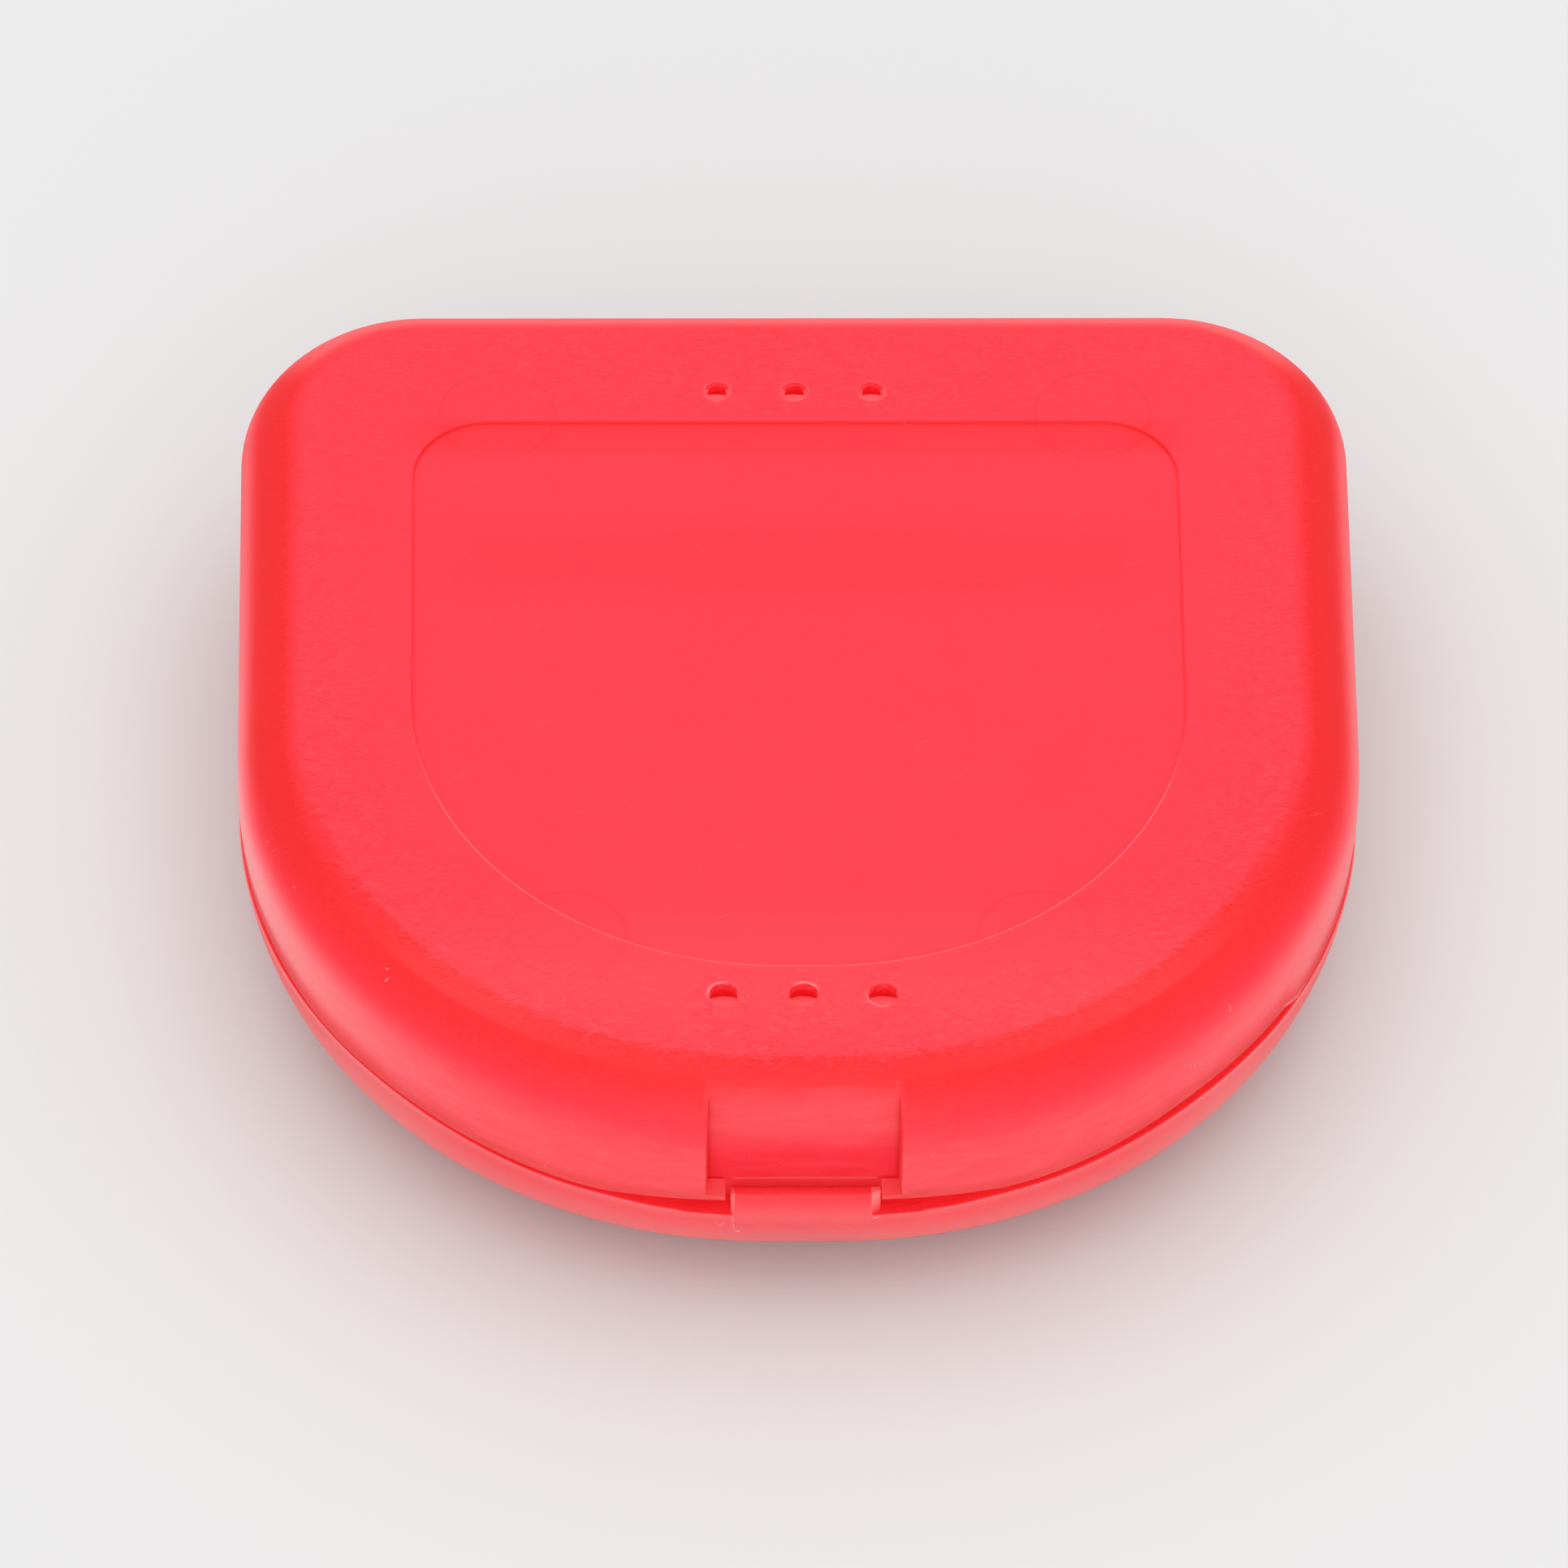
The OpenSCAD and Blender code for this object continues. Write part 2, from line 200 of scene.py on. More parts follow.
def joined(solids):
    """One object out of several solids that don't touch."""
    first = solids[0]
    bm = bmesh.new()
    for s in solids:
        bm.from_mesh(s.data)
    bm.to_mesh(first.data)
    bm.free()
    for s in solids[1:]:
        spare = s.data
        bpy.data.objects.remove(s)
        bpy.data.meshes.remove(spare)
    return first


def box_bar(half_w, y0, y1, z0, z1):
    """Plain block across the middle of the case."""
    return prism([(y0, z0), (y1, z0), (y1, z1), (y0, z1)], -half_w, half_w)


def smooth(obj, angle=32):
    """Smooth shading with crisp edges over the angle and flat faces kept flat."""
    for p in obj.data.polygons:
        p.use_smooth = True
    obj.data.set_sharp_from_angle(angle=math.radians(angle))
    weighted = obj.modifiers.new("weighted normals", "WEIGHTED_NORMAL")
    weighted.weight = 100
    weighted.keep_sharp = True


def plan_inset(x, y, half_w=HALF_W, front_y=-HALF_D, back_y=HALF_D, front_r=FRONT_R, back_r=BACK_R):
    """Distance from a point inwards to the D outline, and the outward direction there."""
    side = math.copysign(1, x)
    for cx, cy, r, ahead in ((half_w - front_r, front_y + front_r, front_r, -1),
                             (half_w - back_r, back_y - back_r, back_r, 1)):
        dx = abs(x) - cx
        dy = y - cy
        if dx >= 0 and dy * ahead >= 0:
            away = max(math.hypot(dx, dy), 1e-6)
            return r - away, side * dx / away, dy / away
    return min((half_w - abs(x), side, 0), (back_y - y, 0, 1), (y - front_y, 0, -1))


def paint(obj, **layers):
    """Stores one number per point for each named layer, worked out from the point in millimetres."""
    for name, rule in layers.items():
        layer = obj.data.attributes.new(name, "FLOAT", "POINT")
        for i, v in enumerate(obj.data.vertices):
            layer.data[i].value = rule(*(v.co / MM))


def ramp(v, low, high):
    """Smooth step from 0 at low to 1 at high."""
    t = min(1, max(0, (v - low) / (high - low)))
    return t * t * (3 - 2 * t)


def bowl_section(r, z_end):
    """Section of the bowl's outside or inside, from the flat floor up to height z_end."""
    end = -math.degrees(math.asin((BASE_ROUND - z_end) / r))
    return [(BASE_INSET + BASE_ROUND - c, z) for c, z in arc(0, BASE_ROUND, r, -90, end, 22)]


# (inset, height) from the outside of the floor, up over the rim and the lip, and down the inside
lip_root = RIM_Z - 2 * LIP_T
rim_section = (
    bowl_section(BASE_ROUND, RIM_Z - EDGE_SOFT)
    + [(BASE_INSET + c, z) for c, z in arc(EDGE_SOFT, RIM_Z - EDGE_SOFT, EDGE_SOFT, 180, 90, 3)[1:]]
    + [(BASE_INSET + 0.28, RIM_Z), (LIP_OUT - 0.1, RIM_Z), (LIP_OUT, RIM_Z + 0.1)]
    + arc(LIP_OUT + LIP_SOFT, LIP_TOP - LIP_SOFT, LIP_SOFT, 180, 90, 4)
    + arc(LIP_OUT + LIP_T - LIP_SOFT, LIP_TOP - LIP_SOFT, LIP_SOFT, 90, 0, 4)
    + [(LIP_OUT + LIP_T, RIM_Z - LIP_T / 2), (BASE_INSET + WALL + 0.55, lip_root)]
    + bowl_section(BASE_ROUND - WALL, lip_root - 0.3)[::-1]
)


def seam_rise(x, y):
    """The seam between base and lid lies higher along the sides than in front and behind."""
    return SEAM_RISE * ramp(abs(plan_inset(x, y)[1]), 0.33, 0.8) * (1 - ramp(y, 2, 24))


def rim_height(x, y):
    """Height of the base's rim: it rises to the sides and dips a little beside the tab."""
    dip = RIM_DIP * (1 - ramp(abs(x), *DIP_HALF)) if y < 0 else 0
    return RIM_Z + seam_rise(x, y) - dip


def lifted(x, y, z):
    """A point of the plain bowl moved with the rim's height, and less the lower it lies."""
    return x, y, z + (rim_height(x, y) - RIM_Z) * ramp(z, FOLLOW_Z, RIM_Z)


base = skin("base", [[lifted(*point) for point in ring(inset, z)] for inset, z in rim_section])

# The lip leaves a gap behind the tab, and its root a pocket for the tongue's foot
front_y = -HALF_D + BASE_INSET
tab_back = front_y + TAB_T
lip_gap_z = RIM_Z - RIM_DIP - 0.02
boolean(base, [
    box_bar(POCKET_HALF, -HALF_D - 1, STOP_Y, lip_gap_z, LIP_TOP + 1),
    box_bar(POCKET_HALF, tab_back, STOP_Y, POCKET_Z, LIP_TOP + 1),
], "DIFFERENCE")


def tab_bend(x):
    """How far the case's outline lies behind its foremost point, at x."""
    return max(0, abs(x) - (HALF_W - FRONT_R)) ** 2 / (2 * FRONT_R)


def tab():
    """Tab whose front follows the case's outline, with its lead-in slope and hook behind."""
    nose = TAB_T + HOOK_NOSE
    front = [(0.1, RIM_Z - WALL), (0, RIM_Z - 0.5), (0, TAB_TOP - TAB_SOFT), (0.05, TAB_TOP - 0.05),
             (TAB_SOFT, TAB_TOP), (TAB_LAND, TAB_TOP)]
    hook = [(nose - HOOK_SOFT, HOOK_NOSE_Z + HOOK_SOFT), (nose, HOOK_NOSE_Z - HOOK_SOFT),
            (nose, HOOK_Z + HOOK_SOFT), (nose - HOOK_SOFT, HOOK_Z), (TAB_T, HOOK_Z), (TAB_T, RIM_Z - WALL)]

    # (x, draw): how far the front is drawn back at that place along the tab
    left_end = [(-TAB_HALF, 0.12), (0.25 - TAB_HALF, 0.01), (0.3 - TAB_HALF, 0)]
    right_end = [(TAB_CORNER, 0), (TAB_CORNER + 0.06, 0.04), (TAB_RIGHT, 0.44)]
    rings = []
    for x, draw in left_end + [(x, 0) for x in range(-4, 5)] + right_end:
        loop = []
        for y, z in front + hook:
            back = draw if y <= TAB_LAND else 0
            down = min(draw, 0.12) if z > TAB_TOP - 0.2 else 0
            loop.append((x, front_y + tab_bend(x) + y + back, z - down))
        rings.append(loop)
    return skin("tab", rings)


def knuckle(x0, length, web, bore_r=PIN_R):
    """Hinge knuckle round the pin's axis, with the web that carries it on the wall."""
    section = [(HINGE_Y + c, HINGE_Z + s) for c, s in arc(0, 0, KNUCKLE_R, *web["arc"], 28)] + web["foot"]
    last = 360 - 360 / BORE_STEPS
    bore = [(HINGE_Y + c, HINGE_Z + s) for c, s in arc(0, 0, bore_r, 0, last, BORE_STEPS - 1)]
    blank = prism(section, x0, x0 + length, END_SOFT)
    return boolean(blank, [prism(bore, x0 - 1, x0 + length + 1)], "DIFFERENCE")


# The base's webs stay under the lid's edge, so the knuckle's circle meets them at that height
web_top = RIM_Z - 0.1
meet = 180 + math.degrees(math.asin((HINGE_Z - web_top) / KNUCKLE_R))
base_web = {"arc": (-115, meet), "foot": [(HALF_D - 0.9, web_top), (HALF_D - 2.3, RIM_Z - WEB_H)]}
half_hinge = (LID_KNUCKLE_L + 2 * (KNUCKLE_GAP + BASE_KNUCKLE_L)) / 2
knuckles = []
for side in (-1, 1):
    knuckles.append(knuckle(side * HINGE_X - half_hinge, BASE_KNUCKLE_L, base_web))
    knuckles.append(knuckle(side * HINGE_X + half_hinge - BASE_KNUCKLE_L, BASE_KNUCKLE_L, base_web))
stop_back = STOP_Y + STOP_T
stop_section = [
    (STOP_Y, STOP_FOOT[0]), (STOP_Y, STOP_TOP - STOP_SOFT), (STOP_Y + STOP_SOFT, STOP_TOP),
    (stop_back - STOP_SOFT, STOP_TOP), (stop_back, STOP_TOP - STOP_SOFT), (stop_back, STOP_FOOT[1]),
]
stop = prism(stop_section, -STOP_HALF, STOP_HALF, END_SOFT)
boolean(base, [joined([tab(), stop] + knuckles)], "UNION")


# Nicks: slivers of the base's own plastic, torn up and pale, on the bowl's front face at both ends
# of the tab's foot, where snapping and opening has worn it.
def bowl_face(x, z):
    """Point of the bowl's front face."""
    drawn = z + RIM_DIP * ramp(z + 0.2, FOLLOW_Z, RIM_Z)
    inset = BASE_INSET + BASE_ROUND - math.sqrt(BASE_ROUND ** 2 - (BASE_ROUND - drawn) ** 2)
    along = max(0, abs(x) - (HALF_W - FRONT_R))
    return Vector((x, FRONT_R - HALF_D - math.sqrt((FRONT_R - inset) ** 2 - along ** 2), z))


def nick(path, width, rise):
    """Sliver of torn plastic on the front face, thin at both ends, along (x, z) points."""
    points = [bowl_face(x, z) for x, z in path]
    rings = []
    for k, point in enumerate(points):
        run = (points[min(k + 1, len(points) - 1)] - points[max(k - 1, 0)]).normalized()
        across = run.cross(Vector((0, -1, 0))).normalized()
        size = math.sin(math.pi * (k + 0.35) / (len(points) - 0.3))
        rings.append([tuple(point + across * width * size * a + Vector((0, -rise * size * b, 0)))
                      for a, b in ((-0.5, -0.6), (-0.2, 1), (0.25, 0.8), (0.5, -0.6))])
    return skin("nick", rings)


# (path of (x, z) points, width, rise) of each sliver
NICKS = [
    (((-4.98, 8.9), (-4.95, 8.3), (-4.88, 7.7), (-4.9, 7.2)), 0.14, 0.03),
    (((-4.85, 7.0), (-4.7, 6.75), (-4.5, 6.8), (-4.4, 6.95)), 0.26, 0.04),
    (((-6.15, 7.9), (-5.95, 7.55), (-5.7, 7.7), (-5.55, 8.15)), 0.12, 0.03),
    (((5.25, 9.0), (5.2, 8.75), (5.05, 8.6), (4.85, 8.62)), 0.16, 0.03),
]
nicks = joined([nick(*row) for row in NICKS])
smooth(base)
smooth(nicks)
nicks.name = "base_nicks"
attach(nicks, "base")
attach(base, "base")
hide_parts("base_shell")


def linked(nodes, links, kind, **inputs):
    """New shader node with its inputs set to numbers or wired to other nodes' outputs.

    An input goes by its name, or by i and its number, such as i0 for the first.
    """
    node = nodes.new(kind)
    for key, value in inputs.items():
        if hasattr(node, key):
            setattr(node, key, value)
            continue
        numbered = key[0] == "i" and key[1:].isdigit()
        socket = node.inputs[int(key[1:]) if numbered else key.replace("_", " ")]
        if isinstance(value, bpy.types.NodeSocket):
            links.new(value, socket)
        else:
            socket.default_value = value
    return node


# Height of the grain that the mould leaves in the plastic
GRAIN_H = 0.13


def frosted(name, main, deep, pale, roughness=0.42, deeper=(), paler=(), traces=()):
    """Frosted translucent plastic, whose colour follows the layers that are painted on its mesh.

    The layers are deep and pale, for the colour, which carry painted shade and painted light, pale
    also the whitening of scratches and nicks; grain and smear, for the mould's marks, the grain with
    painted shade and highlights on its bumps; and glow, the share of light that comes through from
    behind. deeper and paler are (amount, {axis: (from, to, softness)}) windows in millimetres of
    painted shade and painted light. traces are the (x, y, radius) rings that the mould left.
    """
    mat = bpy.data.materials.new(name)
    mat.use_nodes = True
    nodes, links = mat.node_tree.nodes, mat.node_tree.links
    shader = nodes["Principled BSDF"]

    def add(kind, **inputs):
        return linked(nodes, links, kind, **inputs)

    def math_node(operation, a, b=0.0):
        node = add("ShaderNodeMath", i0=a, i1=b)
        node.operation = operation
        return node.outputs[0]

    def mix(factor, a, b):
        node = add("ShaderNodeMix", i0=factor, i6=a, i7=b)
        node.data_type = "RGBA"
        return node.outputs[2]

    def layer(attribute):
        return add("ShaderNodeAttribute", attribute_name=attribute).outputs["Fac"]

    def scaled(value, low, high, start=0.0, end=1.0, kind="LINEAR"):
        node = add("ShaderNodeMapRange", i0=value, i1=start, i2=end, i3=low, i4=high)
        node.interpolation_type = kind
        return node.outputs[0]

    place = add("ShaderNodeTexCoord").outputs["Object"]
    split = add("ShaderNodeSeparateXYZ", i0=place)

    def windows(total, rows):
        """Adds the amount of every window at this point to the total."""
        for amount, spans in rows:
            share = amount
            for axis, (low, high, soft) in spans.items():
                along = split.outputs["XYZ".index(axis)]
                share = math_node("MULTIPLY", share, scaled(
                    along, 0.0, 1.0, (low - soft) * MM, (low + soft) * MM, "SMOOTHSTEP"))
                share = math_node("MULTIPLY", share, scaled(
                    along, 1.0, 0.0, (high - soft) * MM, (high + soft) * MM, "SMOOTHSTEP"))
            total = math_node("ADD", total, share)
        return total

    def noise(where, scale, detail, rough=0.5):
        node = add("ShaderNodeTexNoise", Vector=where, Scale=scale, Detail=detail, Roughness=rough)
        return node.outputs["Fac"]

    def stretched(size, turn=(0.0, 0.0, 0.0)):
        """Places counted in lengths of size, in metres, along axes turned by these angles."""
        node = add("ShaderNodeMapping", vector_type="TEXTURE", Vector=place, Rotation=turn, Scale=size)
        return node.outputs[0]

    # Patterns: slow clouds of depth, the mould's grain, specks of dust, fine scratches, level smears
    cloud = noise(place, 45.0, 3.0)
    # The grain is drawn out across, the way light falling from behind makes its specks look
    drawn_out = add("ShaderNodeMapping", Vector=place, Scale=(0.75, 2.4, 1.7)).outputs[0]
    grain = noise(drawn_out, 2300.0, 2.0, 0.6)
    fleck = add("ShaderNodeTexVoronoi", Vector=place, Scale=480.0).outputs["Distance"]
    dust = scaled(fleck, 0.5, 0.0, 0.018, 0.03)
    rubbed = noise(stretched((0.004, 0.0003, 0.002), (0.2, 0.1, 0.6)), 1.0, 1.0)
    wiped = noise(stretched((0.0034, 0.0026, 0.0007)), 1.0, 2.0)

    # Depth: how far the main colour goes towards the deep one
    depth = windows(layer("deep"), deeper)
    dark_smear = math_node("MULTIPLY", layer("smear"), scaled(wiped, 0.0, 0.42, 0.5, 0.66))
    depth = math_node("ADD", depth, dark_smear)
    depth = math_node("ADD", depth, scaled(cloud, -0.04, 0.04, 0.3, 0.7))
    # Painted shade of the grain's bumps: dark specks that follow the grain
    speckle = math_node("MULTIPLY", layer("grain"), scaled(grain, 0.0, 0.7, 0.5, 0.72))
    depth = math_node("ADD", depth, speckle)
    for x, y, radius in traces:
        away = add("ShaderNodeVectorMath", i0=place, i1=(x * MM, y * MM, 0.0))
        away.operation = "SUBTRACT"
        flat = add("ShaderNodeVectorMath", i0=away.outputs[0], i1=(1.0, 1.0, 0.0))
        flat.operation = "MULTIPLY"
        span = add("ShaderNodeVectorMath", i0=flat.outputs[0])
        span.operation = "LENGTH"
        off = math_node("ABSOLUTE", math_node("SUBTRACT", span.outputs["Value"], radius * MM))
        depth = math_node("ADD", depth, scaled(off, 0.22, 0.0, 0.0, 0.25 * MM, "SMOOTHSTEP"))

    # Light: how far it then goes towards the pale one
    light = math_node("ADD", windows(layer("pale"), paler), dust)
    light = math_node("ADD", light, scaled(rubbed, 0.0, 0.12, 0.75, 0.82))
    # Painted highlights of the grain's bumps: light specks that follow the grain
    glint = math_node("MULTIPLY", layer("grain"), scaled(grain, 0.16, 0.0, 0.28, 0.46))
    light = math_node("ADD", light, glint)
    pale_smear = math_node("MULTIPLY", layer("smear"), scaled(wiped, 0.14, 0.0, 0.34, 0.5))
    light = math_node("ADD", light, pale_smear)
    tone = mix(depth, (*main, 1), (*deep, 1))
    tone = mix(light, tone, (*pale, 1))

    links.new(tone, shader.inputs["Base Color"])
    links.new(scaled(cloud, roughness - 0.05, roughness + 0.05), shader.inputs["Roughness"])
    shader.inputs["IOR"].default_value = 1.49
    shader.inputs["Specular IOR Level"].default_value = 0.35
    shader.inputs["Subsurface Weight"].default_value = 0.5
    shader.inputs["Subsurface Radius"].default_value = (0.0015, 0.0005, 0.0005)
    shader.inputs["Subsurface Scale"].default_value = 1.0
    bump = add("ShaderNodeBump", Strength=layer("grain"), Distance=GRAIN_H * MM, Height=grain)
    links.new(bump.outputs[0], shader.inputs["Normal"])
    through = add("ShaderNodeBsdfTranslucent", Color=tone, Normal=bump.outputs[0])
    both = add("ShaderNodeMixShader", i0=layer("glow"), i1=shader.outputs[0], i2=through.outputs[0])
    links.new(both.outputs[0], nodes["Material Output"].inputs["Surface"])
    return mat


def outside(d, z):
    """True on the bowl's outer side, at a distance d in from the outline."""
    rise = BASE_ROUND - min(d - BASE_INSET, BASE_ROUND)
    return z < BASE_ROUND - math.sqrt(max(0, BASE_ROUND ** 2 - rise ** 2)) + WALL / 2


def on_rim(d, x, y, z):
    """True on top of the rim, which starts inside its outer edge, where a highlight is painted, and, beside
    the tab, right at the front.
    """
    edge = 0.08 if abs(x) < POCKET_HALF + 0.1 and y < 0 else 0.3
    return d > edge and z > rim_height(x, y) - 0.05


def on_tab(x, y, z):
    """Where a point of the base belongs to the tab: 'end', 'top' or 'front', or None elsewhere."""
    along = -TAB_HALF - 0.1 < x < TAB_RIGHT + 0.1
    in_front = y < tab_back + HOOK_NOSE + 0.3
    if not (along and in_front and z > RIM_Z - RIM_DIP + 0.05):
        return None
    if x < 0.28 - TAB_HALF or x > TAB_CORNER + 0.03:
        return "end"
    return "top" if y - front_y - tab_bend(x) > 0.1 else "front"


def base_painted_light(x, y, z):
    """Painted light: paler towards the table, which lights it from below, and to the sides, with painted
    highlights on the rim's edge and on the tab's ends, and a little painted light on its top.
    """
    place = on_tab(x, y, z)
    if place == "end":
        return 0.85 if x > 0 else 0.5
    if place == "top":
        return 0.06
    d, nx, ny = plan_inset(x, y)
    if on_rim(d, x, y, z):
        return 0.0
    rim = rim_height(x, y)
    z -= (rim - RIM_Z) * ramp(z, FOLLOW_Z, rim)
    if not outside(d, z):
        return 0.0
    sides = 0.3 * ramp(abs(nx), 0.5, 0.8)
    below = 0.7 * ramp(-z, -9.8, -3.6) * (1 - 0.5 * ramp(y, 10, 35))
    edge = 0.3 * ramp(-d, -LIP_OUT, 0) * ramp(z, 8.9, RIM_Z)
    return min(1, 0.18 + sides + below + edge)


def base_painted_shade(x, y, z):
    """Painted shade: deeper on top of the rim and on the lip, in the shade of the seam under the lid's
    edge.
    """
    if on_tab(x, y, z):
        return 0.0
    d = plan_inset(x, y)[0]
    if on_rim(d, x, y, z):
        return 0.65
    rim = rim_height(x, y)
    return 0.5 * ramp(d, 0.4, 1.2) * ramp(z, rim - 2.8, rim - 0.8)


def base_glow(x, y, z):
    """Lets less light through in the floor's inside, which the table shades."""
    if outside(plan_inset(x, y)[0], z):
        return 0.12 + 0.43 * ramp(z, 0.3, 2)
    return 0.12 + 0.43 * ramp(z, 2, 5)


def even(value):
    """Layer with one value all over."""
    return lambda x, y, z: value


# The base's main colour is a little paler than the lid's: painted light from the table, which lights it
# from below
base_plastic = frosted(
    "base plastic",
    main=(1.0, 0.09, 0.12),
    deep=(0.94, 0.035, 0.04),
    pale=(1.0, 0.46, 0.47),
)
base.data.materials.append(base_plastic)
nicks.data.materials.append(base_plastic)
paint(nicks, deep=even(0.0), pale=even(0.95), glow=even(0.3), grain=even(0.3))
paint(base, deep=base_painted_shade, pale=base_painted_light, glow=base_glow, grain=even(0.3))


# Hinge pins: two smooth rods of the same red polypropylene with bevelled ends.
# Each is pressed through the base's knuckles and turns in the lid's knuckle.
pin_plastic = frosted(
    "pin plastic",
    main=(0.97, 0.04, 0.05),
    deep=(0.9, 0.02, 0.02),
    pale=(1.0, 0.25, 0.26),
    roughness=0.32,
)
for node in ("hinge_pin_left", "hinge_pin_right"):
    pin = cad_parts[node]
    pin.data.materials.clear()
    pin.data.materials.append(pin_plastic)


# Lid shell: a shallow D-shaped cap of the same plastic, with a sunk label panel, two rows of vents
# and a thumb recess in front. Its knuckles turn on the hinge pins. The mould left a low soft rim
# round each vent, bits of flash on the vents' edges and a fine grain outside the panel.
LID_EDGE = 9.9
LID_TOP = 20.6
LID_ROUND = 5.0
inner_r = LID_ROUND - WALL
round_z = LID_TOP - LID_ROUND

# Lower edge: its twist, its arch over the tab, and the gap on the right that shuts where the
# outline has turned far enough to the side; the front corners of the wall are drawn in by DRAFT
WARP = 0.25
ARCH_H = 0.8
ARCH_HALF = 14.0
GAPE = 0.35
SHUT = 1.0
TIP_TURN = 0.86
TIP_SOFT = 0.012
DRAFT = 0.22

# Sunk panel: half width, front, back, front and back corners, and its depth
PANEL = (27.55, -26.4, 26.6, 25.8, 5.6)
PANEL_DEPTH = 0.3

# Vents: (y, radius) of each row, the ledge inside as (bore, depth, where it starts), how much that
# start bends, the soft rim round each vent, and the direction of the flash on the front ones
VENT_ROWS = [(-29.3, 1.04), (29.5, 0.88)]
VENT_PITCH = 5.6
LEDGES = [(0.98, 0.2, 0.08), (0.7, 0.14, -0.1)]
LEDGE_BEND = 0.2
RIM_H = 0.1
RIM_W = 0.95
FLASH = {-1: 2.3, 0: 1.3, 1: -2.2}
VENTS = [(row, i, i * VENT_PITCH, y, r) for row, (y, r) in enumerate(VENT_ROWS) for i in (-1, 0, 1)]
TURN_STEPS = 48

# Round traces of the ejector pins, inside the top
MARK_R = 4.15
MARK_DEPTH = 0.12
MARKS = [(-16.5, -23.4), (16.5, -23.4), (-21.5, 27.3), (21.5, 27.3)]

# Height inside the box from which the cutters for the vents reach up
CUT_FROM = 18.0

# Thumb recess, the shelf at its foot, the notch for the tab, and the frame round the tongue's slot
RECESS_Y = -37.7
RECESS_BACK_HALF = 6.7
RECESS_FRONT_HALF = 6.92
RECESS_SOFT = 1.5
SHELF_Z = 11.0
NOTCH_HALF = 5.5
SLOT_TOP = 18.55
FRAME_HALF = 8.1
FRAME_FRONT = -39.0
FRAME_BACK = -36.4
FRAME_FOOT = 10.5
FRAME_TOP = 19.4
FRAME_ROUND = 4.2


def edge_shift(x, y):
    """Height of the lid's edge over its plain level.

    It follows the base's rim, is twisted a little and arches over the tab. On the right it gapes
    up to a point where it shuts suddenly.
    """
    nx = plan_inset(x, y)[1]
    arch = ARCH_H * max(0, 1 - (x / ARCH_HALF) ** 2) if y < 0 else 0
    shut = SHUT * ramp(nx, TIP_TURN - TIP_SOFT, TIP_TURN + TIP_SOFT)
    gape = (GAPE * ramp(nx, 0.45, 0.7) - shut) * (1 - ramp(y, 2, 20))
    return seam_rise(x, y) + WARP * x / HALF_W + arch + gape


def lower_edge(points, share):
    """Shifts a ring near the lid's edge by its share of the edge's shift and of the side walls' draft."""
    out = []
    for x, y, z in points:
        d, nx, ny = plan_inset(x, y)
        draft = share * DRAFT * ramp(abs(nx), 0.8, 0.95) * (1 - ramp(y, 2, 20))
        out.append((x - nx * draft, y - ny * draft, z + share * edge_shift(x, y)))
    return out


# (inset, height, share of the edge's shift) round the foot of the wall and up its outside
foot_z = LID_EDGE + EDGE_SOFT
lid_section = [(WALL, foot_z, 1)]
lid_section += [(c, z, 1) for c, z in arc(WALL - EDGE_SOFT, foot_z, EDGE_SOFT, 0, -90, 3)[1:]]
lid_section += [(c, z, 1) for c, z in arc(EDGE_SOFT, foot_z, EDGE_SOFT, -90, -180, 3)]
lid_section += [(0, 10.6, 0.9), (0, 11.2, 0.75), (0, 11.8, 0.6), (0, 12.4, 0.4), (0, 13.2, 0.2),
                (0, 14.0, 0.08), (0, 14.8, 0)]

# (inset from the panel's edge, depth) down the soft step of the panel
panel_step = [(-0.18, 0), (-0.1, 0.02), (-0.03, 0.07), (0, 0.14), (0.03, 0.22), (0.1, 0.28),
              (0.2, PANEL_DEPTH)]
inner = [(LID_ROUND - c, z) for c, z in arc(0, round_z, inner_r, 90, 0, 14)]
outer = [(LID_ROUND - c, z) for c, z in arc(0, round_z, LID_ROUND, 0, 90, 24)]

# From the ceiling down the inside, round the foot, up the outside and over the top to the panel
rings = [ring(c, z) for c, z in inner] + [lower_edge(ring(WALL, LID_EDGE + 2.6), 0.4)]
rings += [lower_edge(ring(c, z), share) for c, z, share in lid_section]
rings += [ring(c, z) for c, z in outer]
rings += [ring(inset, LID_TOP - sunk, *PANEL) for inset, sunk in panel_step]
lid = skin("lid", rings)


def turned(x, y, section, wobble=0.0, phase=0.0):
    """Upright solid of (radius, height) rings, a little out of round.

    A third number cuts a ring off in front, along a slightly bent line.
    """
    rings = []
    for r, z, *cut in section:
        loop = []
        for i in range(TURN_STEPS):
            a = math.radians(i * 360 / TURN_STEPS)
            out = r * (1 + wobble * (math.sin(2 * a + phase) + 0.6 * math.sin(5 * a + 2 * phase)))
            side = out * math.cos(a)
            back = max([out * math.sin(a)] + [start - LEDGE_BEND * side ** 2 for start in cut])
            loop.append((x + side, y + back, z))
        rings.append(loop)
    return skin("turned", rings)


def vent_rim(x, y, r):
    """Low soft rim that the mould left round a vent."""
    swell = [(r + RIM_W * (1 - k / 8), 0.5 - 0.5 * math.cos(math.pi * k / 8)) for k in range(9)]
    foot = [(r + RIM_W, LID_TOP - 0.3)]
    return turned(x, y, foot + [(out, LID_TOP - 0.004 + RIM_H * rise) for out, rise in swell])


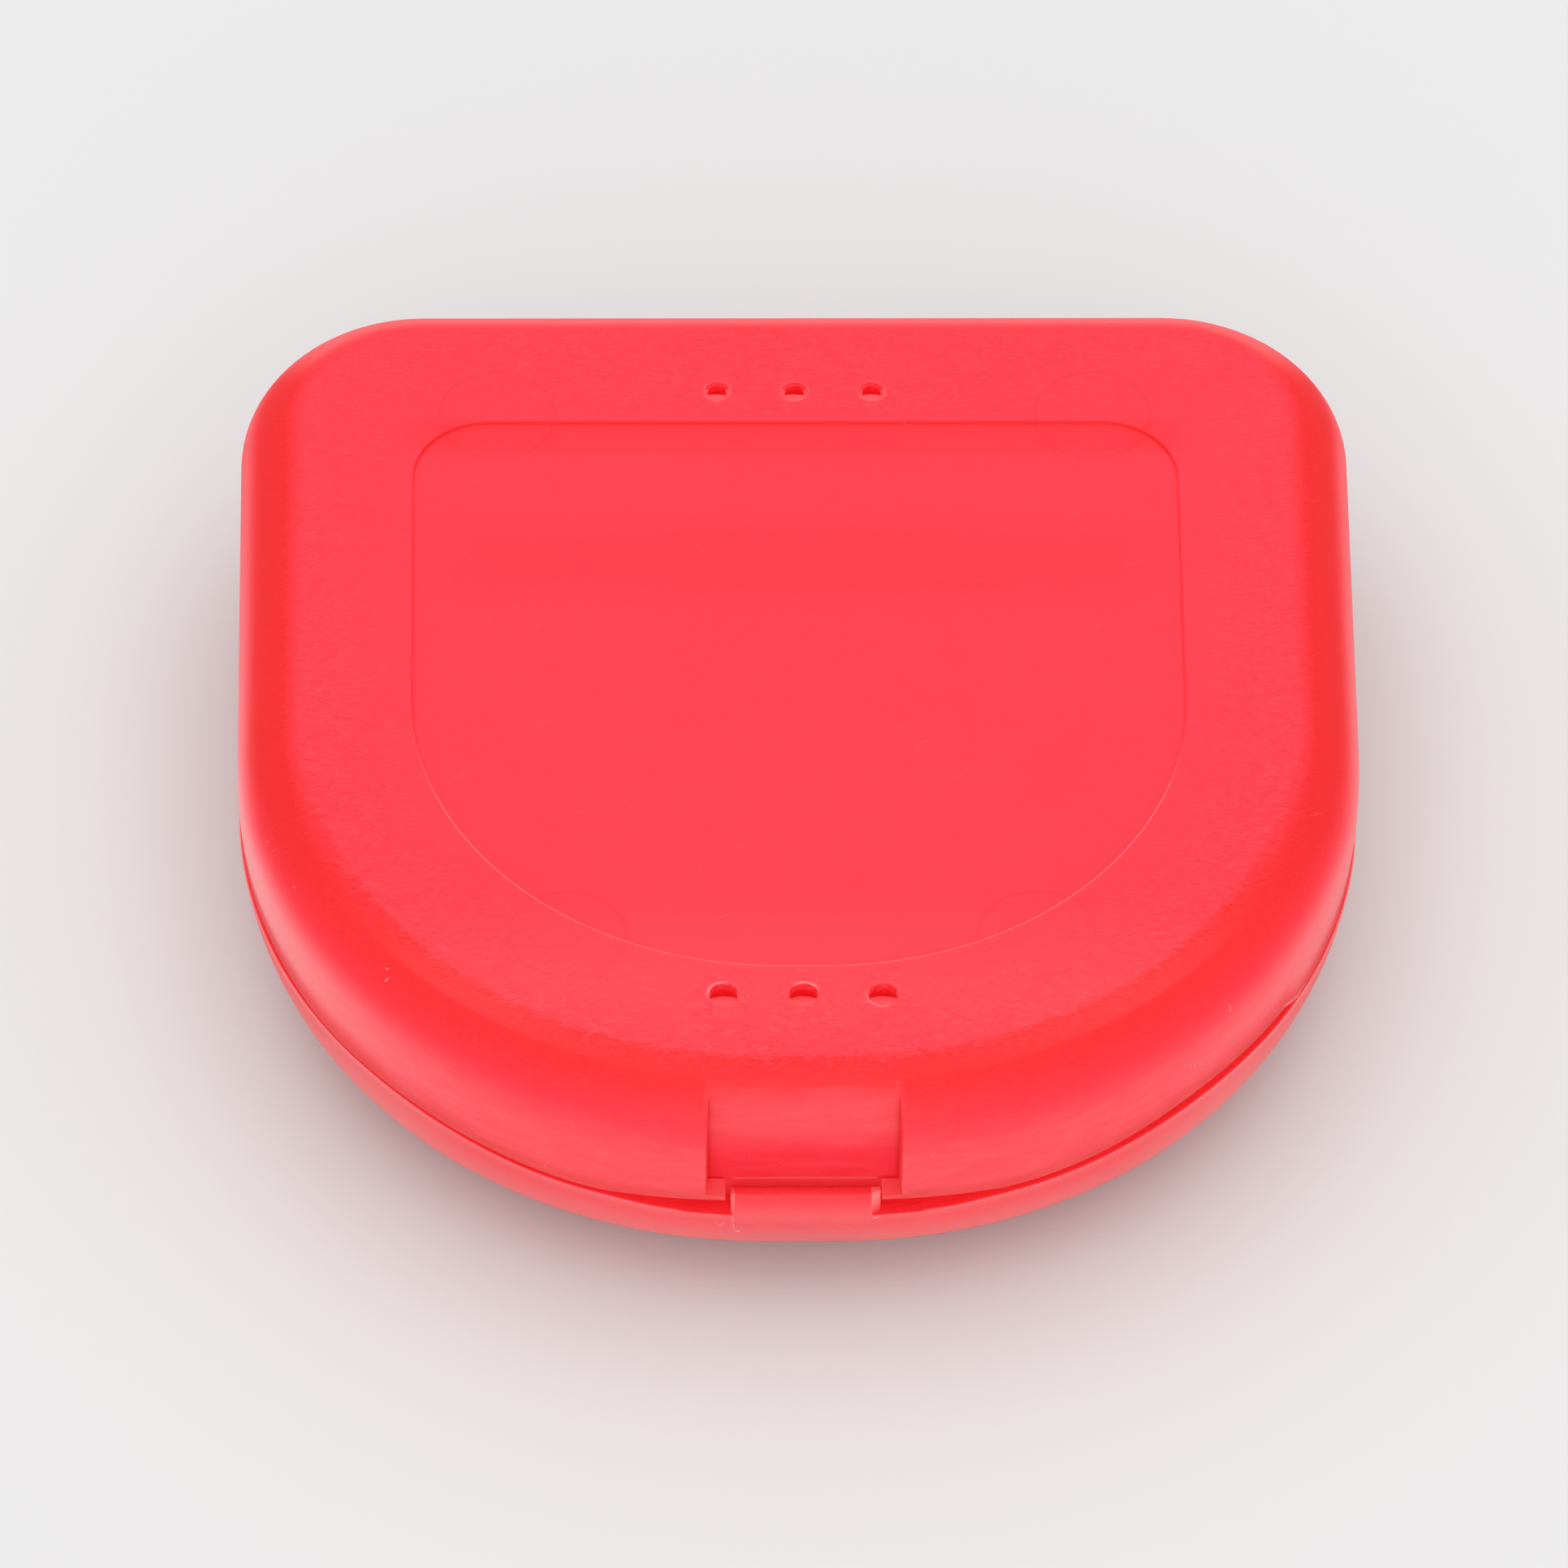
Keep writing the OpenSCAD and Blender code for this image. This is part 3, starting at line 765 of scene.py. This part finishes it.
def vent_hole(x, y, r, row, phase):
    """Cutter for a vent: the narrower bore behind its ledge, and the vent with its softened edge."""
    bore, depth, start = LEDGES[row]
    behind = [(bore, z, start) for z in (CUT_FROM, LID_TOP - WALL + 0.15, LID_TOP - depth - 0.06)]
    ledge = [(bore + 0.02, LID_TOP - depth), (r - 0.02, LID_TOP - 0.06)]
    mouth = [(r, LID_TOP), (r + 0.04, LID_TOP + 0.05), (r + 0.1, LID_TOP + 0.09), (r + 0.5, LID_TOP + 0.4)]
    return turned(x, y, behind + ledge + mouth, 0.02 + 0.02 * row, phase)


centre_y = LID_ROUND - HALF_D
recess_frame = [(FRAME_BACK, FRAME_FOOT), (FRAME_FRONT, FRAME_FOOT), (FRAME_FRONT, round_z)]
recess_frame += [(centre_y + c, z) for c, z in arc(0, round_z, FRAME_ROUND, 180, 112.5, 8)]
recess_frame += [(FRAME_BACK, FRAME_TOP)]
rims, holes = [], []
for row, i, vent_x, vent_y, vent_r in VENTS:
    rims.append(vent_rim(vent_x, vent_y, vent_r))
    holes.append(vent_hole(vent_x, vent_y, vent_r, row, 1.7 * i + row))
lid_web = {"arc": (-150, 60), "foot": [(HALF_D - 0.4, LID_EDGE + WEB_H), (HALF_D - 0.4, LID_EDGE + 0.2)]}
knuckles = []
for side in (-1, 1):
    x0 = side * HINGE_X - LID_KNUCKLE_L / 2
    knuckles.append(knuckle(x0, LID_KNUCKLE_L, lid_web, PIN_R + PIN_PLAY))
boolean(lid, [joined([prism(recess_frame, -FRAME_HALF, FRAME_HALF)] + rims + knuckles)], "UNION")

# The recess' back wall ends above in a soft rounding that runs into the lid's own rounded edge
blend_r = LID_ROUND - RECESS_SOFT
soft_y = RECESS_Y + RECESS_SOFT
soft_z = round_z + math.sqrt(blend_r ** 2 - (soft_y - centre_y) ** 2)
out_angle = math.degrees(math.atan2(soft_z - round_z, soft_y - centre_y))
recess = [(RECESS_Y, SHELF_Z)] + [(c, z) for c, z in arc(soft_y, soft_z, RECESS_SOFT, 180, out_angle, 10)]
recess += [(recess[-1][0], LID_TOP + 1), (-HALF_D - 1, LID_TOP + 1), (-HALF_D - 1, SHELF_Z)]


def flared(section, back_half, front_half):
    """Cutter for the recess, a little wider in front so that the moulding leaves its tool."""
    slope = (front_half - back_half) / (-HALF_D - RECESS_Y)
    return skin("cutter", [[(side * (back_half + slope * (y - RECESS_Y)), y, z) for y, z in section]
                           for side in (-1, 1)])


ceiling = LID_TOP - WALL
marks = [turned(x, y, [(MARK_R, ceiling - 1), (MARK_R, ceiling + MARK_DEPTH)]) for x, y in MARKS]
boolean(lid, [
    flared(recess, RECESS_BACK_HALF, RECESS_FRONT_HALF),
    box_bar(NOTCH_HALF, -HALF_D - 1, RECESS_Y, LID_EDGE - 1, SHELF_Z + 0.5),
    box_bar(RECESS_BACK_HALF, RECESS_Y - 0.3, FRAME_BACK + 1, LID_EDGE - 1, SHELF_Z),
    box_bar(RECESS_BACK_HALF, RECESS_Y - 0.001, FRAME_BACK + 1, SHELF_Z - 0.5, SLOT_TOP),
    joined(holes + marks),
], "DIFFERENCE")
smooth(lid)
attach(lid, "lid")
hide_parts("lid_shell")


def lid_painted_shade(x, y, z):
    """Painted shade: deeper red on the rounded edge, along the wall's foot above the seam, on the back and
    sides of the panel's step, and in the vents' bores and on their far sides.
    """
    for row, i, vent_x, vent_y, vent_r in VENTS:
        if math.hypot(x - vent_x, y - vent_y) < vent_r + 0.03:
            bore = ceiling + 0.1 < z < LID_TOP - 0.21
            far_side = y > vent_y + 0.3 and LID_TOP - 0.5 < z < LID_TOP + 0.02
            return 0.6 if bore or far_side else 0.0
    d, nx, ny = plan_inset(x, y, *PANEL)
    if -0.01 < d < 0.12 and z > LID_TOP - 0.29:
        return 0.9 * ramp(ny, -0.2, 0.6) + 0.22 * (1 - abs(ny))
    d, nx, ny = plan_inset(x, y)
    if z < round_z:
        return 0.9 * (1 - ramp(z - LID_EDGE - edge_shift(x, y), 0.3, 1.5)) if d < 0.5 else 0.0
    if d > LID_ROUND - 0.05:
        return 0.0
    t = math.degrees(math.atan2(z - round_z, max(1e-6, LID_ROUND - d)))
    front = ramp(-ny, 0.1, 0.7)
    side = ramp(t, 20, 50) * (1 - ramp(t, 66, 88))
    near = ramp(t, 5, 62) * (1 - ramp(t, 84, 90))
    sunk = LID_ROUND - math.hypot(LID_ROUND - d, z - round_z)
    band = 0.8 * front * near + (1 - front) * side
    return band * (1 - 0.7 * ramp(ny, 0.3, 1)) * (1 - ramp(sunk, 0, 0.35))


def sheen(x, y, z):
    """Share of the painted sheen, a painted reflection on the wall's front corners, strongest on the left.
    """
    d, nx, ny = plan_inset(x, y)
    if d > 1.15:
        return 0.0
    level = ramp(z - LID_EDGE - edge_shift(x, y), 1.0, 2.6) * (1 - ramp(z, 15.8, 18.6))
    return level * nx ** 4 * (1 if x < 0 else 0.65) * (1 - ramp(y, -8, 6))


def lid_glow(x, y, z):
    """Lets less light through where the sheen lies."""
    return 0.55 - 0.3 * sheen(x, y, z)


def lid_pale(x, y, z):
    """Painted light: paler on the lower wall, a painted reflection on the edges of the sides and back and
    the painted sheen; painted highlights on the vents' lips and ledges, the panel's front edge, the shelf
    beside the notch and the lip where the gap shuts; and pale flash on the front vents' lips.
    """
    for row, i, vent_x, vent_y, vent_r in VENTS:
        away = math.hypot(x - vent_x, y - vent_y)
        turn = math.atan2(y - vent_y, x - vent_x)
        if vent_r - 0.01 < away < vent_r + 0.16 and z > LID_TOP + 0.01:
            flash = ramp(math.cos(turn - FLASH[i]), 0.4, 0.95)
            return 0.2 - 0.12 * math.sin(turn) if row else 0.06 + 0.55 * flash
        if away < vent_r + 0.01 and z > LID_TOP - 0.21 and y < vent_y + 0.3:
            return 0.28
    d, nx, ny = plan_inset(x, y, *PANEL)
    if -0.12 < d < 0.01 and z > LID_TOP - 0.1:
        return 0.62 * ramp(-ny, 0.1, 0.5)
    d, nx, ny = plan_inset(x, y)
    beside_notch = NOTCH_HALF - 0.1 < abs(x) < RECESS_FRONT_HALF
    if beside_notch and y < RECESS_Y + 0.1 and z < SHELF_Z + 0.05:
        return 0.25 if z > SHELF_Z - 0.5 else 0.42
    outer_side = d < 0.5 if z < round_z else math.hypot(LID_ROUND - d, z - round_z) > LID_ROUND - 0.1
    if d > 4.6 or not outer_side:
        return 0.0
    if d < 0.5 and abs(nx - TIP_TURN) < 0.02 and y < 0 and z < LID_EDGE + edge_shift(x, y) + 0.5:
        return 0.8
    plain = 0.22 * (1 - ramp(z, 14, 18.2))
    side_edge = ramp(abs(nx), 0.8, 1) * ramp(y, -12, -2) * (1 - ramp(z, 17.4, 19))
    back_edge = ramp(ny, 0.4, 0.8) * (1 - ramp(z, 20.0, 20.5))
    return min(1, max(plain, 0.38 * side_edge, 0.38 * back_edge) + 0.7 * sheen(x, y, z))


def lid_grain(x, y, z):
    """Grain of the mould: none on the panel, coarsest where the top meets the rounded edge."""
    if plan_inset(x, y, *PANEL)[0] > -0.2 and z > LID_TOP - 1:
        return 0.06
    if abs(x) < RECESS_FRONT_HALF and y < RECESS_Y + 0.4:
        return 0.12
    band = ramp(plan_inset(x, y)[0], 3, 4.8) * ramp(z, 19.5, 20.5)
    return 0.15 + 0.77 * band * (0.4 + 0.6 * ramp(-y, -8, 10))


def lid_smear(x, y, z):
    """Level smears that the mould left in the thumb recess and on the front wall."""
    if abs(x) < RECESS_FRONT_HALF and y < RECESS_Y + 0.4:
        return 0.35
    d, nx, ny = plan_inset(x, y)
    return 0.4 * ramp(-ny, 0.3, 0.8) * (1 - ramp(z, 15.5, 18))


# Scuffs: small pale scratches that use has left on the lid's front wall and on its rounding, each
# as (turn in degrees, height, length, lean in degrees, width)
SCUFFS = [
    (-47.8, 19.2, 0.42, 70, 0.13), (-48.6, 19.6, 0.3, 20, 0.1), (-66, 18.7, 0.2, 40, 0.12),
    (-74, 18.4, 0.18, 0, 0.12), (41.9, 14.3, 0.3, 10, 0.12), (41.2, 14.6, 0.2, 60, 0.1),
    (42.7, 14.0, 0.16, -30, 0.12), (40.6, 13.6, 0.22, 15, 0.08), (47.6, 17.2, 0.6, 85, 0.07),
    (9.6, 14.9, 0.5, 70, 0.08), (-10.4, 13.2, 0.4, 80, 0.07), (11.9, 13.0, 0.2, 20, 0.1),
]
SCUFF_H = 0.025


def scuff(turn, z, length, lean, width):
    """Tiny raised scratch on the lid's front wall or rounding, turn degrees round from the front."""
    inset = LID_ROUND - math.sqrt(LID_ROUND ** 2 - max(0, z - round_z) ** 2)
    t = math.asin(max(0, z - round_z) / LID_ROUND)
    a = math.radians(turn)
    r = FRONT_R - inset
    corner_x = math.copysign(HALF_W - FRONT_R, a)
    centre = Vector((corner_x + r * math.sin(a), FRONT_R - HALF_D - r * math.cos(a), z))
    out = Vector((math.cos(t) * math.sin(a), -math.cos(t) * math.cos(a), math.sin(t)))
    level = Vector((math.cos(a), math.sin(a), 0))
    along = math.cos(math.radians(lean)) * level + math.sin(math.radians(lean)) * out.cross(level)
    across = out.cross(along)
    rings = []
    for k, size in enumerate((0.25, 0.9, 1, 0.8, 0.2)):
        point = centre + along * length * (k / 4 - 0.5)
        rings.append([tuple(point + across * width * size * u + out * SCUFF_H * size * v)
                      for u, v in ((-0.5, -0.8), (-0.2, 1), (0.25, 0.8), (0.5, -0.8))])
    return skin("scuff", rings)


scuffs = joined([scuff(*row) for row in SCUFFS])
smooth(scuffs)
scuffs.name = "lid_scuffs"
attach(scuffs, "lid")

# Windows of painted shade: a band across the panel that stands in for the base seen through the top,
# one along the panel's back, both side walls of the recess and the foot of its back wall. Windows of
# painted light: the top of that wall, the tongue's foot in the notch, a painted highlight line above
# the tab, and the lid's top towards the front
TOP = (LID_TOP - 0.5, LID_TOP + 1, 0.1)
lid_plastic = frosted(
    "lid plastic",
    main=(1.0, 0.07, 0.115),
    deep=(0.83, 0.024, 0.027),
    pale=(1.0, 0.45, 0.46),
    deeper=[(0.22, {"Y": (9.5, 16.5, 2.2), "X": (-26, 26, 4), "Z": TOP}),
            (0.35, {"Y": (23.8, 26.6, 0.7), "X": (-27.5, 27.5, 1.5), "Z": TOP}),
            (0.5, {"X": (-6.85, -6.5, 0.15), "Z": (10.8, 18.8, 0.8), "Y": (-38.3, -37.2, 0.2)}),
            (0.5, {"X": (6.5, 6.85, 0.15), "Z": (10.8, 18.8, 0.8), "Y": (-38.3, -37.2, 0.2)}),
            (0.12, {"Z": (10.7, 14.0, 1.1), "X": (-4.6, 4.6, 2.2), "Y": (-38.4, -37.2, 0.1)})],
    paler=[(0.2, {"Z": (14.8, 19.3, 1.6), "X": (-6.9, 6.9, 0.3), "Y": (-38.2, -36.6, 0.5)}),
           (0.08, {"Z": (8, 10.7, 0.05), "X": (-5.5, 5.5, 0.1), "Y": (-38.4, -37.2, 0.1)}),
           (0.35, {"Z": (10.66, 10.85, 0.04), "X": (-5.0, 5.2, 0.1), "Y": (-38, -37.2, 0.1)}),
           (0.07, {"Y": (-34, -24, 5), "Z": TOP})],
    traces=[(x, y, MARK_R) for x, y in MARKS],
)
lid.data.materials.append(lid_plastic)
scuffs.data.materials.append(lid_plastic)
paint(scuffs, deep=even(0.0), pale=even(0.9), glow=even(0.3), grain=even(0.1))
paint(lid, deep=lid_painted_shade, pale=lid_pale, glow=lid_glow, grain=lid_grain, smear=lid_smear)


# Latch tongue: the flexing back wall of the thumb recess, moulded in one with the lid.
# Its top bends like a thin hinge, and a barb along its foot snaps under the base's hook.
TONGUE_HALF = 6.67
TONGUE_FACE = RECESS_Y - 0.012
TONGUE_BACK = RECESS_Y + 1.1
TONGUE_FOOT = 9.1
TONGUE_TOP = 19.25
BEND_LOW = 17.4
BEND_HIGH = 18.6

# Barb: its top, its half width, and how far its nose and its root reach from the tongue's face
BARB_Z = 9.65
BARB_HALF = 4.8
BARB_NOSE = 0.55
BARB_ROOT = 0.4

levels = [BEND_LOW + (BEND_HIGH - BEND_LOW) * k / 8 for k in range(9)]
section = [(TONGUE_FACE, TONGUE_FOOT)] + [(TONGUE_FACE, z) for z in levels]
section += [(TONGUE_FACE, 18.85), (TONGUE_FACE + 0.03, 19.05), (TONGUE_FACE + 0.12, TONGUE_TOP),
            (TONGUE_BACK, TONGUE_TOP)]
section += [(TONGUE_BACK, z) for z in levels[::-1]] + [(TONGUE_BACK, TONGUE_FOOT)]
tongue = prism(section, -TONGUE_HALF, TONGUE_HALF)
barb_foot = TONGUE_FOOT - 0.001
barb_back = RECESS_Y + BARB_ROOT
barb_front = RECESS_Y - BARB_NOSE
barb = prism([(barb_back, barb_foot), (RECESS_Y, barb_foot), (barb_front, BARB_Z - 0.15),
              (barb_front, BARB_Z), (barb_back, BARB_Z)], -BARB_HALF, BARB_HALF)
boolean(tongue, [barb], "UNION")
tongue.name = "tongue"
smooth(tongue)
tongue.data.materials.append(lid_plastic)
paint(tongue, deep=even(0.0), pale=even(0.0), glow=even(0.55), grain=even(0.12), smear=even(0.35))
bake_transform(tongue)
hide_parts("latch_tongue")


# Table and light: a plain pale table, an even white surround and two wide soft lamps, one above
# the box and one in front of it.

# Half width of the table and the gap under the box, in metres
TABLE = 3.0
GAP = 0.00005
mesh = bpy.data.meshes.new("table")
table_corners = [(x * TABLE, y * TABLE, -GAP) for x, y in ((-1, -1), (1, -1), (1, 1), (-1, 1))]
mesh.from_pydata(table_corners, [], [(0, 1, 2, 3)])
table = bpy.data.objects.new("table", mesh)
scene.collection.objects.link(table)
table_white = bpy.data.materials.new("table white")
table_white.use_nodes = True
table_shader = table_white.node_tree.nodes["Principled BSDF"]
table_shader.inputs["Base Color"].default_value = (0.56, 0.56, 0.56, 1)
table_shader.inputs["Roughness"].default_value = 0.6
mesh.materials.append(table_white)

world = bpy.data.worlds.new("surround")
scene.world = world
world.use_nodes = True
surround = world.node_tree.nodes["Background"]
surround.inputs["Strength"].default_value = 1.15
surround.inputs["Color"].default_value = (1, 1, 1, 1)


def softbox(name, place, size, watts):
    """Square soft lamp that points at the box."""
    lamp = bpy.data.lights.new(name, "AREA")
    lamp.energy = watts
    lamp.size = size
    obj = bpy.data.objects.new(name, lamp)
    obj.location = place
    obj.rotation_euler = (-Vector(place)).to_track_quat("-Z", "Y").to_euler()
    scene.collection.objects.link(obj)


softbox("softbox_above", (0, 0.1, 0.9), 1.0, 2.5)
softbox("softbox_front", (0, -1.15, 0.5), 1.2, 6.0)
scene.view_settings.view_transform = "Standard"


# Camera: as the photograph looks at the box, from in front at 47 degrees above the table,
# from far enough away that the sides hardly taper. Its distances are metres.
ELEVATION = math.radians(47.2)
YAW = math.radians(1.2)
ROLL = math.radians(0.82)
DISTANCE = 1.3
AIM = Vector((0, 0.00025, 0.0203))
SHIFT_RIGHT = -0.00105
SHIFT_UP = -0.0067

# Side of the square frame, and how many of its pixels a metre at the aim takes
FRAME_PX = 1932
PX_PER_M = 17300

forward = math.cos(ELEVATION)
look = Vector((math.sin(YAW) * forward, math.cos(YAW) * forward, -math.sin(ELEVATION)))
level = Vector((math.cos(YAW), -math.sin(YAW), 0))
above = level.cross(look)
right = math.cos(ROLL) * level + math.sin(ROLL) * above
up = math.cos(ROLL) * above - math.sin(ROLL) * level
lens = bpy.data.cameras.new("camera")
lens.sensor_width = 36
lens.lens = lens.sensor_width * PX_PER_M * DISTANCE / FRAME_PX
lens.clip_start = 0.05
lens.clip_end = 20
camera = bpy.data.objects.new("camera", lens)
eye = AIM - DISTANCE * look + SHIFT_RIGHT * right + SHIFT_UP * up
camera.matrix_world = Matrix.Translation(eye) @ Matrix((right, up, -look)).transposed().to_4x4()
scene.collection.objects.link(camera)
scene.camera = camera
